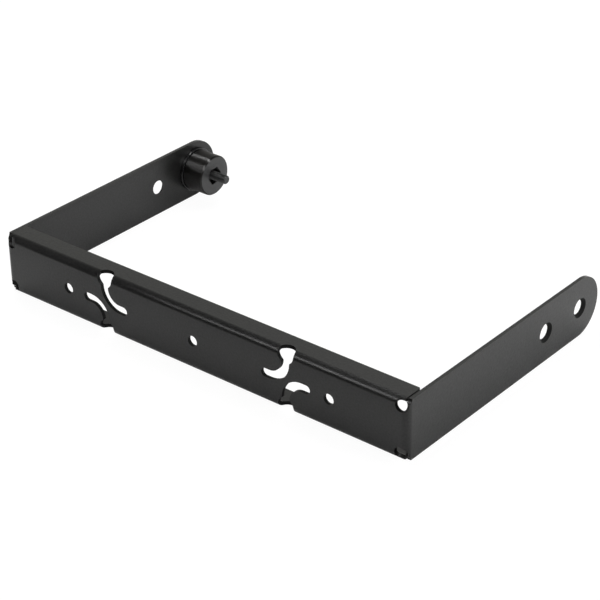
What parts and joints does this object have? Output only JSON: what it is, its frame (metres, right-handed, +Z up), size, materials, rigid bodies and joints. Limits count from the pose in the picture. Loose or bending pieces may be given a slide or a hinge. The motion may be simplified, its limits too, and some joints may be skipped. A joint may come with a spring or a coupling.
{
  "type": "loudspeaker wall bracket",
  "caption": "Folded steel yoke that holds a small loudspeaker off a wall between two arms, hung by hooked slots, with a tilt pivot for its pole socket.",
  "frame": {"origin": "centre of the web's wall face, which is the axis of its middle wall hole", "axes": "+X along the web towards the arm with no pivot, +Y from the wall along the arms, +Z up"},
  "size_m": [0.396, 0.245, 0.0508],
  "materials": {
    "powder_coat": "satin charcoal powder coat with a fine grain",
    "washer_plastic": "smooth black plastic",
    "black_gloss": "turned and black plated, with a satin end face",
    "black_steel": "black oxide"
  },
  "bodies": {
    "bracket": {"wall_bracket": "powder_coat"},
    "pivot": {"friction_washer": "washer_plastic", "pivot_boss": "black_gloss", "pivot_nut": "black_steel", "pivot_screw": "black_steel"}
  },
  "joints": [
    {"name": "tilt_pivot", "type": "hinge", "parent": "bracket", "child": "pivot", "pos_m": [-0.195, 0.22, 0], "axis": [1, 0, 0], "continuous": true}
  ]
}
